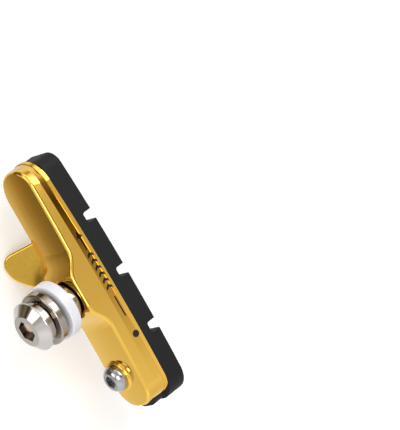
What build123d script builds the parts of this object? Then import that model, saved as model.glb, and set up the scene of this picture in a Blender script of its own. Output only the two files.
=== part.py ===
"""Left brake shoe of a road bicycle's rim brake.

A rubber insert slides into a cast holder and is kept by a small screw. The mounting bolt carries two pairs of
ball washers that clamp the caliper arm and let the shoe toe in. Millimetres: +X is the front of the bicycle, +Y
runs outboard along the bolt and +Z is up. The origin is on the bolt, at the face that bears on the caliper arm.
"""
import os
from math import cos, radians, sin, sqrt

from build123d import *

os.makedirs("parts", exist_ok=True)

# Braking track of the wheel that the shoe follows, measured at the middle of the shoe's height.
track_radius = 310.0

# Stack of the shoe along the bolt, from the arm seat inwards.
seat_washer_thickness = 2.4
washer_stand_off = 2.3
boss_rise = 2.5
back_wall = 2.0
channel_depth = 2.2
lip_thickness = 1.2
insert_proud = 4.7

# Holder in plan.
holder_front = 28.0
holder_rear = 26.8
holder_height = 11.8
nose_top_radius = 5.4
nose_low_radius = 5.8
tail_top_radius = 4.5
tail_low_radius = 5.0
flange_thickness = 0.8
flange_draft = 0.1
flange_step = 0.2
nose_pinch = 0.4
crease_inset = 0.12
crease_bulge = 0.2
crease_level = 1.7
body_lean = 0.4
back_nose_top_radius = 2.8
back_nose_low_radius = 6.4
corner_land = 0.3
corner_skew = 1.1

# Back of the holder in side view.
boss_front_foot = 9.4
boss_front_top = 3.0
boss_rear_top = 2.2
boss_rear_foot = 8.4
front_fall = 0.9
crown_radius = 50.0
crown_angle = 12.0
ridge_radius = 0.6

# Channel for the insert.
side_wall = 2.2
nose_wall = 2.2
channel_corner = 2.6
channel_overrun = 2.0
lip_reach = 0.9

# Cooling fin under the holder.
fin_thickness = 1.1
fin_lean = 42.0
fin_root_y = 2.4
fin_root_depth = 0.7
fin_front = 12.4
fin_rear = 12.5
fin_reach = 9.7
fin_corner = 2.6
fin_shoulder_x = 4.0
fin_shoulder_reach = 6.4
fin_tail_x = 5.6
fin_tail_reach = 2.0
fin_round = 0.45

# Rubber insert.
insert_front_margin = 0.7
insert_side_margin = 0.4
insert_overhang = 1.4
insert_front_corner = 3.0
insert_rear_corner = 4.8
insert_clearance = 0.1
insert_tail = 0.9
insert_edge_radius = 0.5
slot_width = 2.3
slot_depth = 2.4
slot_pitch = 12.9
slot_corner = 0.5

# Mounting bolt, M6.
bolt_diameter = 6.0
bolt_clearance = 0.05
bolt_end_gap = 0.2
bolt_head_diameter = 10.7
bolt_head_height = 2.1
bolt_head_edge = 0.4
bolt_head_flat = 6.8
bolt_head_round = 0.25
bolt_socket = 4.0
bolt_socket_depth = 1.9
bolt_tip_chamfer = 0.6

# Washers on the bolt.
seat_washer_diameter = 12.4
seat_washer_edge = 0.35
dish_washer_diameter = 11.6
dish_washer_thickness = 1.9
dish_washer_edge = 0.4
tilting_room = 0.7
fixed_room = 0.1
arm_gap = 0.9
ball_radius = 5.6
ball_clearance = 0.12
seat_contact = 0.65
ball_overlap = 0.25
ball_recess_clearance = 0.6
ball_recess_depth = 1.6
convex_rim_angle = 57.0
convex_washer_neck = 1.4

# Screw that keeps the insert in its channel, M3.
screw_offset = 19.1
screw_drop = 1.1
screw_diameter = 3.0
screw_clearance = 0.05
screw_head_diameter = 5.8
screw_head_height = 2.0
screw_head_flat = 3.8
screw_head_edge = 0.4
screw_socket = 2.5
screw_socket_depth = 1.4
screw_reach = 0.9
screw_notch_clearance = 0.2
screw_seat_rise = 0.5
screw_seat_root = 0.4
screw_seat_margin = 0.15
screw_seat_flare = 0.8

# Levels along the bolt.
seat_y = -seat_washer_thickness
boss_y = seat_y - washer_stand_off
back_y = boss_y - boss_rise
floor_y = back_y - back_wall
lip_y = floor_y - channel_depth
rim_y = lip_y - lip_thickness
face_y = rim_y - insert_proud
recess_y = boss_y - ball_recess_depth
tilting_radius = bolt_diameter / 2 + tilting_room
fixed_radius = bolt_diameter / 2 + fixed_room
ball_rim = tilting_radius + ball_overlap
seat_radius = ball_radius + ball_clearance
seat_mouth = tilting_radius + seat_contact
dish_y = arm_gap + dish_washer_thickness

# Plan sizes that follow from the holder.
channel_height = holder_height - 2 * side_wall
channel_front = holder_front - nose_wall
lip_opening = channel_height - 2 * lip_reach
insert_front = holder_front - insert_front_margin
insert_rear = holder_rear + insert_overhang
insert_height = holder_height - 2 * insert_side_margin
insert_middle = (insert_front - insert_rear) / 2


def track_z(x, from_middle):
    """Height at x of the arc that runs from_middle above the middle of the shoe."""
    return sqrt((track_radius + from_middle) ** 2 - x**2) - track_radius


def curved_bar(rear, front, rear_height, front_height, tail_top, tail_low, nose_top, nose_low):
    """Plan outline of a bar that follows the braking track, with its four corners rounded."""
    middle = (3 * rear_height + front_height) / 8
    with BuildSketch() as bar:
        with BuildLine():
            top = ThreePointArc(
                (-rear, track_z(rear, rear_height / 2)), (0, middle), (front, track_z(front, front_height / 2))
            )
            bottom = ThreePointArc(
                (-rear, track_z(rear, -rear_height / 2)), (0, -middle), (front, track_z(front, -front_height / 2))
            )
            Line(top @ 0, bottom @ 0)
            Line(top @ 1, bottom @ 1)
        make_face()
        nose_limit = (front_height - nose_top - corner_land) / corner_skew
        tail_limit = (rear_height - tail_top - corner_land) / corner_skew
        fillet(bar.vertices().group_by(Axis.X)[-1].sort_by(Axis.Y)[-1], nose_top)
        fillet(bar.vertices().group_by(Axis.X)[-1].sort_by(Axis.Y)[0], min(nose_low, nose_limit))
        if tail_top > 0:
            fillet(bar.vertices().group_by(Axis.X)[0].sort_by(Axis.Y)[-1], tail_top)
            fillet(bar.vertices().group_by(Axis.X)[0].sort_by(Axis.Y)[0], min(tail_low, tail_limit))
    return bar.sketch


screw_z = track_z(screw_offset, 0) - screw_drop

# Holder: the drafted body, its sides creased above the flange, trimmed to the side view of its crowned back.
with BuildPart() as shoe_holder:
    foot_y = rim_y + flange_thickness
    body_rise = boss_y - foot_y
    sections = (
        (0, flange_step, flange_step + nose_pinch),
        (crease_level, flange_step + crease_inset, flange_step - crease_bulge),
        (body_rise, flange_step + crease_inset + body_lean, flange_step - crease_bulge + body_lean),
    )
    for level, rear_inset, front_inset in sections:
        share = level / body_rise
        with BuildSketch(Plane.XZ.offset(-(foot_y + level))):
            add(
                curved_bar(
                    holder_rear - flange_step,
                    holder_front - flange_step,
                    holder_height - 2 * rear_inset,
                    holder_height - 2 * front_inset,
                    tail_top_radius - flange_step,
                    tail_low_radius - flange_step,
                    nose_top_radius - flange_step + share * (back_nose_top_radius - nose_top_radius),
                    nose_low_radius - flange_step + share * (back_nose_low_radius - nose_low_radius),
                )
            )
    loft(ruled=True)
    crown_y = back_y - crown_radius
    crown_turn = radians(crown_angle)
    with BuildSketch(Plane((0, crown_y, 0), x_dir=(1, 0, 0), z_dir=(0, -sin(crown_turn), cos(crown_turn)))):
        with BuildLine():
            rear_end = Line((-holder_rear, rim_y - crown_y), (-holder_rear, crown_radius))
            rear_back = Line(rear_end @ 1, (-boss_rear_foot, crown_radius))
            rear_rise = Spline(rear_back @ 1, (-boss_rear_top, crown_radius + boss_rise), tangents=((1, 0), (1, 0)))
            boss_top = Line(rear_rise @ 1, (boss_front_top, crown_radius + boss_rise))
            fall = (holder_front - boss_front_foot, -front_fall)
            front_drop = Spline(boss_top @ 1, (boss_front_foot, crown_radius), tangents=((1, 0), fall))
            front_back = Line(front_drop @ 1, (holder_front, crown_radius - front_fall))
            front_end = Line(front_back @ 1, (holder_front, rim_y - crown_y))
            Line(front_end @ 1, rear_end @ 0)
        make_face()
    revolve(axis=Axis((0, crown_y, 0), (1, 0, 0)), revolution_arc=-2 * crown_angle, mode=Mode.INTERSECT)

    # The back meets the sides in one rounded ridge.
    back_faces = shoe_holder.faces().filter_by(lambda f: f.normal_at().Y > 0.5)
    fillet(back_faces.edges().sort_by(Axis.Z)[-1], ridge_radius)

    # Flange that frames the insert, drafted for the mould.
    for level, inset in ((rim_y, 0), (foot_y, flange_draft)):
        with BuildSketch(Plane.XZ.offset(-level)):
            add(
                curved_bar(
                    holder_rear - inset,
                    holder_front - inset,
                    holder_height - 2 * inset,
                    holder_height - 2 * (inset + nose_pinch),
                    tail_top_radius - inset,
                    tail_low_radius - inset,
                    nose_top_radius - inset,
                    nose_low_radius - inset,
                )
            )
    loft(ruled=True)

    # Channel, open at the rear, with lips that hold the insert.
    channel_rear = holder_rear + channel_overrun
    with BuildSketch(Plane.XZ.offset(-floor_y)):
        add(
            curved_bar(
                channel_rear, channel_front, channel_height, channel_height, 0, 0, channel_corner, channel_corner
            )
        )
    extrude(amount=channel_depth, mode=Mode.SUBTRACT)
    lip_front = channel_front - lip_reach
    lip_corner = channel_corner - lip_reach
    with BuildSketch(Plane.XZ.offset(-lip_y)):
        add(curved_bar(channel_rear, lip_front, lip_opening, lip_opening, 0, 0, lip_corner, lip_corner))
    extrude(amount=lip_thickness, mode=Mode.SUBTRACT)

    # Recess for the ball washer and threaded hole for the bolt.
    with BuildSketch(Plane.XZ.offset(-boss_y)):
        Circle(ball_rim + ball_recess_clearance)
    extrude(amount=ball_recess_depth, mode=Mode.SUBTRACT)
    with BuildSketch(Plane.XZ.offset(-recess_y)):
        Circle(bolt_diameter / 2 + bolt_clearance)
    extrude(amount=recess_y - floor_y, mode=Mode.SUBTRACT)

    # Round swelling that carries the retaining screw's head, and the screw's threaded hole.
    seat_level = back_y + screw_seat_rise
    with BuildSketch(Plane.XY.offset(screw_z)):
        with BuildLine():
            seat_end = -screw_offset + screw_head_diameter / 2 + screw_seat_margin
            seat_foot = (seat_end + screw_seat_flare, back_y - screw_seat_root)
            seat_axis = Line((-screw_offset, back_y - screw_seat_root), (-screw_offset, seat_level))
            seat_top = Line(seat_axis @ 1, (seat_end, seat_level))
            seat_side = Spline(seat_top @ 1, seat_foot, tangents=((1, 0), (1, -0.3)))
            Line(seat_side @ 1, seat_axis @ 0)
        make_face()
    revolve(axis=Axis((-screw_offset, 0, screw_z), (0, 1, 0)))
    with BuildSketch(Plane.XZ.offset(-seat_level)):
        with Locations((-screw_offset, screw_z)):
            Circle(screw_diameter / 2 + screw_clearance)
    extrude(amount=seat_level - floor_y, mode=Mode.SUBTRACT)

    # Cooling fin, leaning outboard from the lower wall.
    lean = radians(fin_lean)
    fin_plane = Plane(
        origin=(0, rim_y + fin_root_y, -holder_height / 2),
        x_dir=(1, 0, 0),
        z_dir=(0, cos(lean), sin(lean)),
    )
    with BuildSketch(fin_plane):
        with BuildLine():
            front_edge = Line((fin_front, -fin_root_depth), (fin_front, fin_reach - fin_corner))
            tip = RadiusArc(front_edge @ 1, (fin_front - fin_corner, fin_reach), -fin_corner)
            outer = Spline(
                tip @ 1,
                (fin_shoulder_x, fin_shoulder_reach),
                (-fin_tail_x, fin_tail_reach),
                (-fin_rear, -fin_root_depth),
                tangents=((-1, 0), (-1, -0.1)),
            )
            Line(outer @ 1, front_edge @ 0)
        make_face()
    fin_plate = extrude(amount=fin_thickness / 2, both=True, mode=Mode.PRIVATE)
    fin_face = fin_plate.faces().sort_by(Axis(fin_plane.origin, fin_plane.z_dir))[-1]
    fin_rim = fin_face.edges().sort_by_distance(fin_plane.origin)[1:]
    add(fin_plate.fillet(fin_round, fin_rim))
shoe_holder.part.label = "shoe_holder"
export_step(shoe_holder.part, "parts/shoe_holder.step")

# Insert: a wide back in the channel, a neck between the lips and the braking block outside.
with BuildPart() as pad_insert:
    back_height = channel_height - 2 * insert_clearance
    back_front = channel_front - insert_clearance
    back_rear = holder_rear + insert_tail
    back_corner = channel_corner - insert_clearance
    with BuildSketch(Plane.XZ.offset(-lip_y)):
        add(
            curved_bar(
                back_rear,
                back_front,
                back_height,
                back_height,
                back_corner,
                back_corner,
                back_corner,
                back_corner,
            )
        )
    extrude(amount=-(channel_depth - insert_clearance))
    neck_height = back_height - 2 * lip_reach
    neck_corner = back_corner - lip_reach
    with BuildSketch(Plane.XZ.offset(-lip_y)):
        add(
            curved_bar(
                back_rear - lip_reach,
                back_front - lip_reach,
                neck_height,
                neck_height,
                neck_corner,
                neck_corner,
                neck_corner,
                neck_corner,
            )
        )
    extrude(amount=lip_thickness + insert_clearance)
    with BuildSketch(Plane.XZ.offset(-(rim_y - insert_clearance))):
        add(
            curved_bar(
                insert_rear,
                insert_front,
                insert_height,
                insert_height,
                insert_rear_corner,
                insert_rear_corner,
                insert_front_corner,
                insert_front_corner,
            )
        )
    extrude(amount=insert_proud - insert_clearance)
    fillet(pad_insert.faces().sort_by(Axis.Y)[0].edges(), insert_edge_radius)

    # Three slots across the braking face.
    with BuildSketch(Plane.XY) as slots:
        with Locations((insert_middle, face_y + slot_depth / 2)):
            with GridLocations(slot_pitch, 1, 3, 1):
                Rectangle(slot_width, slot_depth)
        fillet(slots.vertices().group_by(Axis.Y)[-1], slot_corner)
    extrude(amount=insert_height, both=True, mode=Mode.SUBTRACT)

    # Notch that the retaining screw's tip enters.
    with BuildSketch(Plane.XZ.offset(-floor_y)):
        with Locations((-screw_offset, screw_z)):
            Circle(screw_diameter / 2 + screw_notch_clearance)
    extrude(amount=screw_reach + screw_notch_clearance, mode=Mode.SUBTRACT)
pad_insert.part.label = "pad_insert"
export_step(pad_insert.part, "parts/pad_insert.step")

# Ball washer: stands in the holder's recess, with a spherical face towards the arm.
ball_centre = seat_y - sqrt(seat_radius**2 - seat_mouth**2)
with BuildPart() as ball_washer:
    with BuildSketch(Plane.XY):
        with BuildLine():
            bore_top = ball_centre + sqrt(ball_radius**2 - fixed_radius**2)
            base = Line((fixed_radius, recess_y), (ball_rim, recess_y))
            side = Line(base @ 1, (ball_rim, ball_centre + sqrt(ball_radius**2 - ball_rim**2)))
            ball = RadiusArc(side @ 1, (fixed_radius, bore_top), -ball_radius)
            Line(ball @ 1, base @ 0)
        make_face()
    revolve(axis=Axis.Y)
ball_washer.part.label = "ball_washer"
export_step(ball_washer.part, "parts/ball_washer.step")

# Seat washer: nylon, concave towards the shoe, flat where it bears on the arm.
with BuildPart() as seat_washer:
    with BuildSketch(Plane.XY):
        with BuildLine():
            rim = seat_washer_diameter / 2
            bore_y = ball_centre + sqrt(seat_radius**2 - tilting_radius**2)
            face = Line((tilting_radius, 0), (rim, 0))
            side = Line(face @ 1, (rim, seat_y))
            under = Line(side @ 1, (seat_mouth, seat_y))
            cup = RadiusArc(under @ 1, (tilting_radius, bore_y), -seat_radius)
            Line(cup @ 1, face @ 0)
        make_face()
    revolve(axis=Axis.Y)
    fillet(seat_washer.edges().filter_by(GeomType.CIRCLE).group_by(SortBy.RADIUS)[-1], seat_washer_edge)
seat_washer.part.label = "seat_washer"
export_step(seat_washer.part, "parts/seat_washer.step")

# Dish washer: bears on the outer side of the arm, concave towards the bolt head.
dish_centre = dish_y + sqrt(seat_radius**2 - seat_mouth**2)
with BuildPart() as dish_washer:
    with BuildSketch(Plane.XY):
        with BuildLine():
            rim = dish_washer_diameter / 2
            bore_y = dish_centre - sqrt(seat_radius**2 - tilting_radius**2)
            face = Line((tilting_radius, arm_gap), (rim, arm_gap))
            side = Line(face @ 1, (rim, dish_y))
            ring = Line(side @ 1, (seat_mouth, dish_y))
            cup = RadiusArc(ring @ 1, (tilting_radius, bore_y), seat_radius)
            Line(cup @ 1, face @ 0)
        make_face()
    revolve(axis=Axis.Y)
    fillet(dish_washer.edges().filter_by(GeomType.CIRCLE).group_by(SortBy.RADIUS)[-1], dish_washer_edge)
dish_washer.part.label = "dish_washer"
export_step(dish_washer.part, "parts/dish_washer.step")

# Convex washer: nests in the dish washer and carries the bolt head.
convex_rim = ball_radius * sin(radians(convex_rim_angle))
head_y = dish_centre - sqrt(ball_radius**2 - convex_rim**2) + convex_washer_neck
with BuildPart() as convex_washer:
    with BuildSketch(Plane.XY):
        with BuildLine():
            bore_low = dish_centre - sqrt(ball_radius**2 - fixed_radius**2)
            top = Line((fixed_radius, head_y), (convex_rim, head_y))
            side = Line(top @ 1, (convex_rim, head_y - convex_washer_neck))
            ball = RadiusArc(side @ 1, (fixed_radius, bore_low), ball_radius)
            Line(ball @ 1, top @ 0)
        make_face()
    revolve(axis=Axis.Y)
convex_washer.part.label = "convex_washer"
export_step(convex_washer.part, "parts/convex_washer.step")

# Mounting bolt: coned head with a flat ring and a hex socket.
with BuildPart() as mounting_bolt:
    with BuildSketch(Plane.XY):
        with BuildLine():
            shank = bolt_diameter / 2
            tip_y = floor_y + bolt_end_gap
            head_rim = bolt_head_diameter / 2
            end = Line((0, tip_y), (shank - bolt_tip_chamfer, tip_y))
            point = Line(end @ 1, (shank, tip_y + bolt_tip_chamfer))
            stem = Line(point @ 1, (shank, head_y))
            under = Line(stem @ 1, (head_rim, head_y))
            edge = Line(under @ 1, (head_rim, head_y + bolt_head_edge))
            cone = Line(edge @ 1, (bolt_head_flat / 2, head_y + bolt_head_height))
            ring = Line(cone @ 1, (0, head_y + bolt_head_height))
            Line(ring @ 1, end @ 0)
        make_face()
    revolve(axis=Axis.Y)
    head_edges = mounting_bolt.edges().filter_by(lambda e: e.center().Y > head_y + bolt_head_edge / 2)
    fillet(head_edges.filter_by(GeomType.CIRCLE), bolt_head_round)
    with BuildSketch(Plane.XZ.offset(-(head_y + bolt_head_height))):
        RegularPolygon(bolt_socket / 2, 6, major_radius=False)
    extrude(amount=bolt_socket_depth, mode=Mode.SUBTRACT)
mounting_bolt.part.label = "mounting_bolt"
export_step(mounting_bolt.part, "parts/mounting_bolt.step")

# Retaining screw: seated on its swelling, with its tip in the insert's notch.
with BuildPart() as pad_retaining_screw:
    with BuildSketch(Plane.XY.offset(screw_z)):
        with BuildLine():
            shank = screw_diameter / 2
            tip_level = floor_y - screw_reach
            head_rim = screw_head_diameter / 2
            end = Line((-screw_offset, tip_level), (-screw_offset + shank, tip_level))
            stem = Line(end @ 1, (-screw_offset + shank, seat_level))
            under = Line(stem @ 1, (-screw_offset + head_rim, seat_level))
            edge = Line(under @ 1, (-screw_offset + head_rim, seat_level + screw_head_edge))
            dome = TangentArc(
                edge @ 1, (-screw_offset + screw_head_flat / 2, seat_level + screw_head_height), tangent=(0, 1)
            )
            ring = Line(dome @ 1, (-screw_offset, seat_level + screw_head_height))
            Line(ring @ 1, end @ 0)
        make_face()
    revolve(axis=Axis((-screw_offset, 0, screw_z), (0, 1, 0)))
    with BuildSketch(Plane.XZ.offset(-(seat_level + screw_head_height))):
        with Locations((-screw_offset, screw_z)):
            RegularPolygon(screw_socket / 2, 6, major_radius=False)
    extrude(amount=screw_socket_depth, mode=Mode.SUBTRACT)
pad_retaining_screw.part.label = "pad_retaining_screw"
export_step(pad_retaining_screw.part, "parts/pad_retaining_screw.step")
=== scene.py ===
"""Left brake shoe of a road bicycle's rim brake, in its finishes, on a white studio floor."""
from math import radians

import bpy
from mathutils import Matrix, Quaternion, Vector


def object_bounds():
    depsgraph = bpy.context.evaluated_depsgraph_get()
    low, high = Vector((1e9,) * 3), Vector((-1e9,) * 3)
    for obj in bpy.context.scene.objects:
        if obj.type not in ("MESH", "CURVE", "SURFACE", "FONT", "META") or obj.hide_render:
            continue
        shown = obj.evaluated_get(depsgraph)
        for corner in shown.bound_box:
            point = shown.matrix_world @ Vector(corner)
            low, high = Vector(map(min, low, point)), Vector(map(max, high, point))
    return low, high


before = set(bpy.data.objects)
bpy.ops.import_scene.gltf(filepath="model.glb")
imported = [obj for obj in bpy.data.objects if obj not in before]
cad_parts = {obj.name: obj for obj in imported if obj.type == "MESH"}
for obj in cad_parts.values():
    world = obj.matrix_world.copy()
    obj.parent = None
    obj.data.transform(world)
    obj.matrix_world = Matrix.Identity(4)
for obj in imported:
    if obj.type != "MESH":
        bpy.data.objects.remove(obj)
cad_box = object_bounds()
bpy.ops.object.select_all(action="DESELECT")


# Shoe holder: an aluminium casting with its boss and cooling fin in one piece, which carries all the rest.
# It is polished and anodised gold, a little duller and mottled on the fin's face, whose gold is also painted
# darker as painted shade.
# An arrow, chevrons, a line and a dot are printed in dark ink along its upper side.
def add_node(tree, kind, settings=None, **values):
    """A node of that kind; settings are its own properties, values the defaults of its named inputs."""
    made = tree.nodes.new(kind)
    for name, value in (settings or {}).items():
        setattr(made, name, value)
    for name, value in values.items():
        made.inputs[name.replace("_", " ")].default_value = value
    return made


def feed(tree, socket, value):
    """Links an output to an input socket, or writes a number, vector or colour into it."""
    if isinstance(value, bpy.types.NodeSocket):
        tree.links.new(value, socket)
    else:
        socket.default_value = value


def math_node(tree, operation, *terms):
    """A Math node over terms that are numbers or outputs. Returns its output."""
    made = add_node(tree, "ShaderNodeMath", {"operation": operation})
    for socket, term in zip(made.inputs, terms):
        feed(tree, socket, term)
    return made.outputs[0]


def mixed(tree, kind, share, first, second):
    """Goes from first, where share is 0, to second, where it is 1. Returns the output.

    The kind is FLOAT or RGBA.
    """
    made = add_node(tree, "ShaderNodeMix", {"data_type": kind})
    socket_type = {"FLOAT": "VALUE", "RGBA": "RGBA"}[kind]
    ends = [socket for socket in made.inputs if socket.type == socket_type][-2:]
    for socket, value in zip((made.inputs["Factor"], *ends), (share, first, second)):
        feed(tree, socket, value)
    return next(socket for socket in made.outputs if socket.type == socket_type)


def new_finish(name, **values):
    """A material with a Principled BSDF. Returns the material, its tree and the shader."""
    made = bpy.data.materials.new(name)
    made.use_nodes = True
    shader = made.node_tree.nodes["Principled BSDF"]
    for socket, value in values.items():
        shader.inputs[socket.replace("_", " ")].default_value = value
    return made, made.node_tree, shader


def millimetres(tree):
    """The piece's own coordinates in millimetres, as a vector output."""
    place = add_node(tree, "ShaderNodeTexCoord")
    scale = add_node(tree, "ShaderNodeVectorMath", {"operation": "SCALE"}, Scale=1000.0)
    tree.links.new(place.outputs["Object"], scale.inputs[0])
    return scale.outputs[0]


def xyz(tree, vector):
    """The three outputs of a vector's X, Y and Z."""
    made = add_node(tree, "ShaderNodeSeparateXYZ")
    tree.links.new(vector, made.inputs[0])
    return made.outputs


def toward(tree, direction, axis):
    """How far a direction points along an axis, from -1 to 1. Returns the output."""
    made = add_node(tree, "ShaderNodeVectorMath", {"operation": "DOT_PRODUCT"})
    tree.links.new(direction, made.inputs[0])
    made.inputs[1].default_value = axis
    return made.outputs["Value"]


def finish_group():
    """Node group: uneven tone, uneven gloss and a fine relief, in millimetres, for any of the finishes."""
    group = bpy.data.node_groups.new("surface_finish", "ShaderNodeTree")
    face = group.interface
    face.new_socket("Place", in_out="INPUT", socket_type="NodeSocketVector")
    for name in ("Tone Size", "Relief Size", "Gloss", "Gloss Spread"):
        face.new_socket(name, in_out="INPUT", socket_type="NodeSocketFloat")
    for name in ("Tone", "Roughness", "Relief"):
        face.new_socket(name, in_out="OUTPUT", socket_type="NodeSocketFloat")
    given = group.nodes.new("NodeGroupInput")
    result = group.nodes.new("NodeGroupOutput")
    tone = add_node(group, "ShaderNodeTexNoise", Detail=3.0, Roughness=0.6)
    relief = add_node(group, "ShaderNodeTexNoise", Detail=4.0, Roughness=0.55)
    for noise, size in ((tone, "Tone Size"), (relief, "Relief Size")):
        group.links.new(given.outputs["Place"], noise.inputs["Vector"])
        group.links.new(math_node(group, "DIVIDE", 1.0, given.outputs[size]), noise.inputs["Scale"])
    group.links.new(tone.outputs["Fac"], result.inputs["Tone"])
    group.links.new(relief.outputs["Fac"], result.inputs["Relief"])
    swing = math_node(group, "SUBTRACT", tone.outputs["Fac"], 0.5)
    spread = math_node(group, "MULTIPLY", swing, given.outputs["Gloss Spread"])
    group.links.new(math_node(group, "ADD", given.outputs["Gloss"], spread), result.inputs["Roughness"])
    return group


surface_finish = finish_group()


def finish_surface(tree, shader, tones, tone_size, relief_size, gloss, gloss_spread, relief_depth):
    """Two drifting tones, an uneven gloss and a fine relief, with sizes and depth in millimetres.

    Returns the colour and roughness outputs that feed the shader.
    """
    node = add_node(
        tree,
        "ShaderNodeGroup",
        {"node_tree": surface_finish},
        Tone_Size=tone_size,
        Relief_Size=relief_size,
        Gloss=gloss,
        Gloss_Spread=gloss_spread,
    )
    tree.links.new(millimetres(tree), node.inputs["Place"])
    colour = mixed(tree, "RGBA", node.outputs["Tone"], *tones)
    bump = add_node(tree, "ShaderNodeBump", Strength=1.0, Distance=relief_depth / 1000)
    tree.links.new(node.outputs["Relief"], bump.inputs["Height"])
    tree.links.new(colour, shader.inputs["Base Color"])
    tree.links.new(node.outputs["Roughness"], shader.inputs["Roughness"])
    tree.links.new(bump.outputs["Normal"], shader.inputs["Normal"])
    return colour, node.outputs["Roughness"]


gold, gold_tree, gold_shader = new_finish("gold_anodised", Metallic=1.0)
gold_colour, gold_roughness = finish_surface(
    gold_tree,
    gold_shader,
    tones=((0.86, 0.52, 0.09, 1.0), (0.9, 0.56, 0.11, 1.0)),
    tone_size=6.0,
    relief_size=0.5,
    gloss=0.1,
    gloss_spread=0.06,
    relief_depth=0.0004,
)
holder_x, holder_y, holder_z = xyz(gold_tree, millimetres(gold_tree))
holder_normal = add_node(gold_tree, "ShaderNodeTexCoord").outputs["Normal"]


def chained(tree, operation, result, *others):
    """Runs a Math operation of two terms through all the terms. Returns the last output."""
    for term in others:
        result = math_node(tree, operation, result, term)
    return result


def gold_math(operation, *terms):
    """A Math node in the gold finish."""
    return math_node(gold_tree, operation, *terms)


def between(value, low, high):
    """A mask in the gold finish that is 1 where the value lies between low and high."""
    return gold_math("COMPARE", value, (low + high) / 2, (high - low) / 2)


# Printed mark: places in millimetres along the shoe, widths off the mark's middle line.
mark_level = -11.3
line_half_width = 0.17
shaft_ends = (7.2, 10.4)
head_ends = (10.0, 11.6)
head_slope = 0.5
chevron_ends = (-1.54, 6.66)
chevron_pitch = 1.5
chevron_stroke = 0.62
chevron_slope = 0.7
chevron_half_height = 0.75
line_ends = (-8.3, -3.7)
dot_place = -12.5
dot_radius = 0.75
upper_side_tilt = 0.8
ink_colour = (0.008, 0.005, 0.004, 1.0)
mark_y = gold_math("SUBTRACT", holder_y, mark_level)
mark_off = gold_math("ABSOLUTE", mark_y)
stroke_runs = gold_math("MAXIMUM", between(holder_x, *shaft_ends), between(holder_x, *line_ends))
strokes = gold_math("MULTIPLY", gold_math("LESS_THAN", mark_off, line_half_width), stroke_runs)
head_half_width = gold_math("MULTIPLY", gold_math("SUBTRACT", head_ends[1], holder_x), head_slope)
head_run = between(holder_x, *head_ends)
head = gold_math("MULTIPLY", gold_math("LESS_THAN", mark_off, head_half_width), head_run)
slant = gold_math("MULTIPLY_ADD", mark_off, chevron_slope, holder_x)
chevrons = chained(
    gold_tree,
    "MULTIPLY",
    gold_math("LESS_THAN", gold_math("FLOORED_MODULO", slant, chevron_pitch), chevron_stroke),
    gold_math("LESS_THAN", mark_off, chevron_half_height),
    between(slant, *chevron_ends),
)
dot_x = gold_math("SUBTRACT", holder_x, dot_place)
dot_off = gold_math("SQRT", gold_math("MULTIPLY_ADD", dot_x, dot_x, gold_math("MULTIPLY", mark_y, mark_y)))
dot = gold_math("LESS_THAN", dot_off, dot_radius)
mark = chained(gold_tree, "MAXIMUM", strokes, head, chevrons, dot)
upward = toward(gold_tree, holder_normal, (0.0, 0.0, 1.0))
upper_side = gold_math("GREATER_THAN", upward, upper_side_tilt)
ink = gold_math("MULTIPLY", mark, upper_side)

# Fin's outer face, found by the way it faces and by its depth below the holder.
fin_facing = (0.0, 0.74, 0.67)
fin_alignment = 0.97
fin_root_z = -6.2
# The fin's mottled tones are darker than the rest of the gold: painted shade.
fin_shaded_tones = ((0.5, 0.29, 0.036, 1.0), (0.67, 0.42, 0.07, 1.0))
fin_dulling = 0.06
fin_side = gold_math("GREATER_THAN", toward(gold_tree, holder_normal, fin_facing), fin_alignment)
fin = gold_math("MULTIPLY", fin_side, gold_math("LESS_THAN", holder_z, fin_root_z))
fin_mottle = add_node(gold_tree, "ShaderNodeTexNoise", Scale=1.3, Detail=4.0, Roughness=0.7)
gold_tree.links.new(millimetres(gold_tree), fin_mottle.inputs["Vector"])
fin_shaded_colour = mixed(gold_tree, "RGBA", fin_mottle.outputs["Fac"], *fin_shaded_tones)

metal_colour = mixed(gold_tree, "RGBA", fin, gold_colour, fin_shaded_colour)
feed(gold_tree, gold_shader.inputs["Base Color"], mixed(gold_tree, "RGBA", ink, metal_colour, ink_colour))
feed(gold_tree, gold_shader.inputs["Roughness"], gold_math("MULTIPLY_ADD", fin, fin_dulling, gold_roughness))
feed(gold_tree, gold_shader.inputs["Metallic"], gold_math("SUBTRACT", 1.0, ink))
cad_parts["shoe_holder"].data.materials[0] = gold


# Insert: black brake rubber, moulded in one block with three slots across its braking face.
# Its wide back is slid into the holder's channel from the open rear end.
rubber, rubber_tree, rubber_shader = new_finish("brake_rubber", Specular_IOR_Level=0.27)
finish_surface(
    rubber_tree,
    rubber_shader,
    tones=((0.0055, 0.0053, 0.0065, 1.0), (0.0095, 0.0092, 0.011, 1.0)),
    tone_size=2.5,
    relief_size=0.12,
    gloss=0.62,
    gloss_spread=0.2,
    relief_depth=0.008,
)
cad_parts["pad_insert"].data.materials[0] = rubber


# Retaining screw: a small button head screw of zinc plated steel, cooler and darker than the bolt.
# It is screwed into the holder's rear end, and its tip keeps the insert from sliding out.
zinc, zinc_tree, zinc_shader = new_finish("zinc_plate", Metallic=1.0)
finish_surface(
    zinc_tree,
    zinc_shader,
    tones=((0.4, 0.395, 0.41, 1.0), (0.48, 0.475, 0.49, 1.0)),
    tone_size=2.0,
    relief_size=0.2,
    gloss=0.12,
    gloss_spread=0.08,
    relief_depth=0.0004,
)
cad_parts["pad_retaining_screw"].data.materials[0] = zinc


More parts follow.
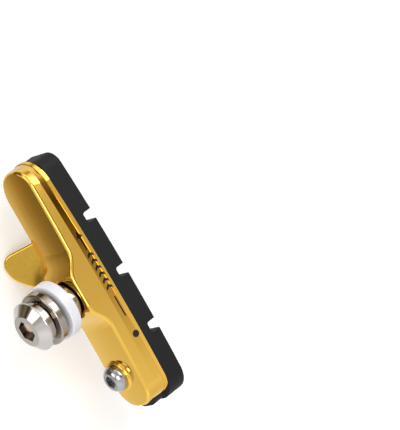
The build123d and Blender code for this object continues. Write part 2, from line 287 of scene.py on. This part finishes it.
# Ball, dish and convex washers: turned steel, polished, painted darker and warmer than the plated bolt, as
# painted shade and a painted reflection of the gold holder.
# The ball washer stands in the holder's recess, and the other two nest under the bolt's head.
shaded_steel, shaded_steel_tree, shaded_steel_shader = new_finish("washer_steel_painted_shade", Metallic=1.0)
finish_surface(
    shaded_steel_tree,
    shaded_steel_shader,
    # These darker, brownish tones are painted shade and a painted reflection of the gold.
    tones=((0.36, 0.32, 0.285, 1.0), (0.44, 0.4, 0.36, 1.0)),
    tone_size=3.0,
    relief_size=0.25,
    gloss=0.12,
    gloss_spread=0.06,
    relief_depth=0.0004,
)
for name in ("ball_washer", "dish_washer", "convex_washer"):
    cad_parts[name].data.materials[0] = shaded_steel


# Seat washer: milky white nylon, moulded, with a hollow that sits on the ball washer.
# It lies loose on the bolt until the bolt is tightened.
nylon, nylon_tree, nylon_shader = new_finish("white_nylon", Subsurface_Weight=0.15)
nylon_shader.inputs["Subsurface Radius"].default_value = (0.0012, 0.0012, 0.0014)
finish_surface(
    nylon_tree,
    nylon_shader,
    tones=((0.65, 0.65, 0.7, 1.0), (0.71, 0.71, 0.75, 1.0)),
    tone_size=4.0,
    relief_size=0.3,
    gloss=0.36,
    gloss_spread=0.1,
    relief_depth=0.002,
)
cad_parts["seat_washer"].data.materials[0] = nylon


# Bolt: turned steel with a coned head, bright plated, screwed into the holder's boss through the washers.
# Down in the hexagon socket its colour is painted darker, as painted shade.
plate, plate_tree, plate_shader = new_finish("bright_plate", Metallic=1.0)
plate_colour, _ = finish_surface(
    plate_tree,
    plate_shader,
    tones=((0.55, 0.52, 0.505, 1.0), (0.61, 0.58, 0.57, 1.0)),
    tone_size=3.0,
    relief_size=0.25,
    gloss=0.1,
    gloss_spread=0.06,
    relief_depth=0.0004,
)
socket_radius = 2.38
socket_mouth = 6.9
# Painted shade: the colour inside the socket is darker.
socket_shade_colour = (0.36, 0.31, 0.27, 1.0)
bolt_x, bolt_y, bolt_z = xyz(plate_tree, millimetres(plate_tree))
z_squared = math_node(plate_tree, "MULTIPLY", bolt_z, bolt_z)
bolt_off = math_node(plate_tree, "SQRT", math_node(plate_tree, "MULTIPLY_ADD", bolt_x, bolt_x, z_squared))
in_socket = math_node(
    plate_tree,
    "MULTIPLY",
    math_node(plate_tree, "LESS_THAN", bolt_off, socket_radius),
    math_node(plate_tree, "LESS_THAN", bolt_y, socket_mouth),
)
bolt_colour = mixed(plate_tree, "RGBA", in_socket, plate_colour, socket_shade_colour)
feed(plate_tree, plate_shader.inputs["Base Color"], bolt_colour)
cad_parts["mounting_bolt"].data.materials[0] = plate


# Floor: a white sweep under the shoe, with the shoe's soft shadow on it.
# A faint glow keeps it white to the eye. The polished metal mirrors the studio's walls in its place.
floor_side = 6.0
floor_glow = 0.22
bpy.ops.mesh.primitive_plane_add(size=floor_side, location=(0.0, 0.0, cad_box[0].z))
floor = bpy.context.object
floor.name = "floor"
floor_white, floor_tree, floor_shader = new_finish("floor_white", Roughness=1.0, Specular_IOR_Level=0.0)
floor_shader.inputs["Base Color"].default_value = (0.86, 0.86, 0.86, 1.0)
floor_shader.inputs["Emission Color"].default_value = (1.0, 1.0, 1.0, 1.0)
floor_ray = add_node(floor_tree, "ShaderNodeLightPath").outputs
floor_seen = chained(
    floor_tree,
    "MAXIMUM",
    floor_ray["Is Camera Ray"],
    floor_ray["Is Glossy Ray"],
    floor_ray["Is Transmission Ray"],
)
floor_light = math_node(floor_tree, "MULTIPLY", floor_seen, floor_glow)
feed(floor_tree, floor_shader.inputs["Emission Strength"], floor_light)
floor.data.materials.append(floor_white)
floor.visible_glossy = False


# Studio: pale walls around the shoe with dark gaps between them, which the polished metal mirrors.
# They are set out along the axes of the photograph's view, and a darker wall has a warmer tint.
# Soft square lights hang above the shoe, at the bolt's side and over the front ridge.
view_right = Vector((-0.4998, -0.6918, 0.5211)).normalized()
view_up = Vector((0.8452, -0.5209, 0.1192)).normalized()
view_back = view_right.cross(view_up).normalized()
world = bpy.data.worlds.new("studio")
bpy.context.scene.world = world
world.use_nodes = True
world_tree = world.node_tree
direction = add_node(world_tree, "ShaderNodeTexCoord").outputs["Generated"]


def world_math(operation, *terms):
    """A Math node in the studio's surround."""
    return math_node(world_tree, operation, *terms)


def along(axis):
    """How far the direction points along an axis, from -1 to 1."""
    return toward(world_tree, direction, axis.normalized())


def ramped(value, interpolation, stops):
    """A colour that runs through (value, colour) stops, for values from 0 to 1. A new ramp has two stops."""
    made = add_node(world_tree, "ShaderNodeValToRGB")
    made.color_ramp.interpolation = interpolation
    for _ in stops[2:]:
        made.color_ramp.elements.new(0.5)
    for element, (at, colour) in zip(made.color_ramp.elements, stops):
        element.position = at
        element.color = colour
    world_tree.links.new(value, made.inputs["Fac"])
    return made.outputs["Color"]


def graded(value, *stops):
    """A brightness that runs softly through (value, brightness) stops, for values from -1 to 1."""
    greys = [(at / 2 + 0.5, (level, level, level, 1.0)) for at, level in stops]
    return ramped(world_math("MULTIPLY_ADD", value, 0.5, 0.5), "EASE", greys)


# Walls, each graded from the far side of the shoe to the camera's side.
toward_camera = along(view_back)
toward_nose = along(view_up)
nose_left = along(view_up - view_right)
rear_wall = graded(
    toward_camera,
    (-0.9, 0.95),
    (-0.66, 0.9),
    (-0.5, 0.82),
    (-0.3, 0.8),
    (0.0, 0.84),
    (0.47, 0.94),
    (0.76, 0.9),
    (0.86, 0.95),
    (0.93, 1.3),
)
side_wall = graded(
    toward_camera,
    (-0.9, 0.8),
    (-0.5, 0.7),
    (-0.12, 0.3),
    (0.02, 0.06),
    (0.18, 0.15),
    (0.4, 0.52),
    (0.55, 0.66),
    (0.76, 0.68),
    (0.95, 0.75),
)
nose_wall = graded(
    toward_camera,
    (-0.95, 0.78),
    (-0.7, 0.9),
    (-0.5, 1.0),
    (-0.2, 0.75),
    (-0.1, 0.4),
    (0.02, 0.7),
    (0.15, 1.2),
    (0.3, 1.7),
    (0.5, 1.5),
    (0.7, 0.8),
)
left_wall = graded(
    toward_camera,
    (-0.95, 0.85),
    (-0.64, 0.68),
    (-0.54, 0.48),
    (-0.46, 0.34),
    (-0.38, 0.25),
    (-0.2, 0.1),
    (0.06, 0.17),
    (0.26, 0.03),
    (0.5, 0.55),
    (0.7, 0.6),
)
left_wall = world_math("MULTIPLY", left_wall, graded(nose_left, (0.22, 1.0), (0.6, 1.4)))

# A pale card at the lower left of the view, which the holder's edge beside the fin mirrors.
low_card = world_math(
    "MULTIPLY",
    graded(toward_nose, (-0.3, 1.1), (-0.1, 0.0)),
    graded(toward_camera, (-0.3, 0.0), (-0.1, 1.0), (0.25, 1.0), (0.4, 0.0)),
)
left_wall = world_math("MAXIMUM", left_wall, low_card)

# The walls meet in soft corners. The left one begins along a slanting edge.
edge_slant = 0.13
slanting_edge = world_math("MULTIPLY_ADD", toward_camera, edge_slant, nose_left)
left_share = world_math(
    "MULTIPLY",
    graded(along(-view_right), (0.35, 0.0), (0.6, 1.0)),
    graded(slanting_edge, (0.035, 0.0), (0.135, 1.0)),
)
walls = mixed(world_tree, "FLOAT", graded(toward_nose, (-0.05, 0.0), (0.2, 1.0)), rear_wall, side_wall)
walls = mixed(world_tree, "FLOAT", graded(toward_nose, (0.5, 0.0), (0.75, 1.0)), walls, nose_wall)
walls = mixed(world_tree, "FLOAT", left_share, walls, left_wall)

# The walls are lighter toward the shoe's rear, and have one dark patch to the right of the camera.
rear_gain = graded(toward_nose, (-0.95, 1.3), (-0.6, 1.0))
patch_direction = view_right * 0.5 + view_back * 0.85
dark_patch = world_math(
    "MULTIPLY",
    graded(along(patch_direction), (0.95, 0.0), (0.985, 0.7)),
    graded(toward_nose, (-0.07, 0.0), (-0.03, 1.0)),
)
shading = world_math("MULTIPLY", rear_gain, world_math("SUBTRACT", 1.0, dark_patch))
studio_light = world_math("MULTIPLY", walls, shading)

# Tints by brightness, from the warm dark gaps to the white walls.
warm_tints = (
    (0.1, (1.0, 0.79, 0.47, 1.0)),
    (0.38, (1.0, 0.82, 0.55, 1.0)),
    (0.62, (1.0, 0.94, 0.8, 1.0)),
    (0.85, (1.0, 1.0, 1.0, 1.0)),
)
surround = world_tree.nodes["Background"]
backdrop_seen = add_node(world_tree, "ShaderNodeLightPath").outputs["Is Camera Ray"]
feed(world_tree, surround.inputs["Color"], ramped(studio_light, "LINEAR", warm_tints))
feed(world_tree, surround.inputs["Strength"], mixed(world_tree, "FLOAT", backdrop_seen, studio_light, 1.0))


def soft_light(name, place, target, size, power, roll=0.0):
    """A square area light at place, turned to target and rolled about its own axis by that many degrees."""
    bpy.ops.object.light_add(type="AREA", location=place)
    made = bpy.context.object
    made.name = name
    made.data.size = size
    made.data.energy = power
    facing = (Vector(target) - Vector(place)).to_track_quat("-Z", "Y")
    made.rotation_euler = (facing @ Quaternion((0.0, 0.0, 1.0), radians(roll))).to_euler()


shoe_middle = (0.0, 0.0, 0.0)
shoe_front_half = (0.01, 0.0, 0.0)
soft_light("light_above", (0.255, -0.2, 0.48), shoe_middle, size=0.4, power=1.2)
soft_light("light_bolt_side", (0.234, 0.432, 0.059), shoe_middle, size=0.26, power=0.36, roll=45.0)
soft_light("light_front_ridge", (-0.003, 0.132, 0.145), shoe_front_half, size=0.085, power=0.1)


# Camera: at the photograph's viewing angle, beside the bolt's head and above it.
# It is as far off as for a product photograph, and is aimed so that the shoe's origin falls on its pixel.
view_distance = 0.6
picture_width, picture_height = 400, 430
pixels_per_metre = 5030.0
origin_pixel = (51.2, 313.3)
sensor_width = 36.0
focal_pixels = pixels_per_metre * view_distance
aim = -view_back * focal_pixels
aim += view_right * (picture_width / 2 - origin_pixel[0])
aim -= view_up * (picture_height / 2 - origin_pixel[1])
aim.normalize()
side = (view_right - aim * view_right.dot(aim)).normalized()
turn = Matrix((side, side.cross(aim), -aim)).transposed()
bpy.ops.object.camera_add(location=view_back * view_distance, rotation=turn.to_euler())
camera = bpy.context.object
camera.data.sensor_width = sensor_width
camera.data.lens = sensor_width * focal_pixels / picture_height
camera.data.clip_start = 0.05
camera.data.clip_end = 20.0
bpy.context.scene.camera = camera
bpy.context.scene.view_settings.view_transform = "Standard"
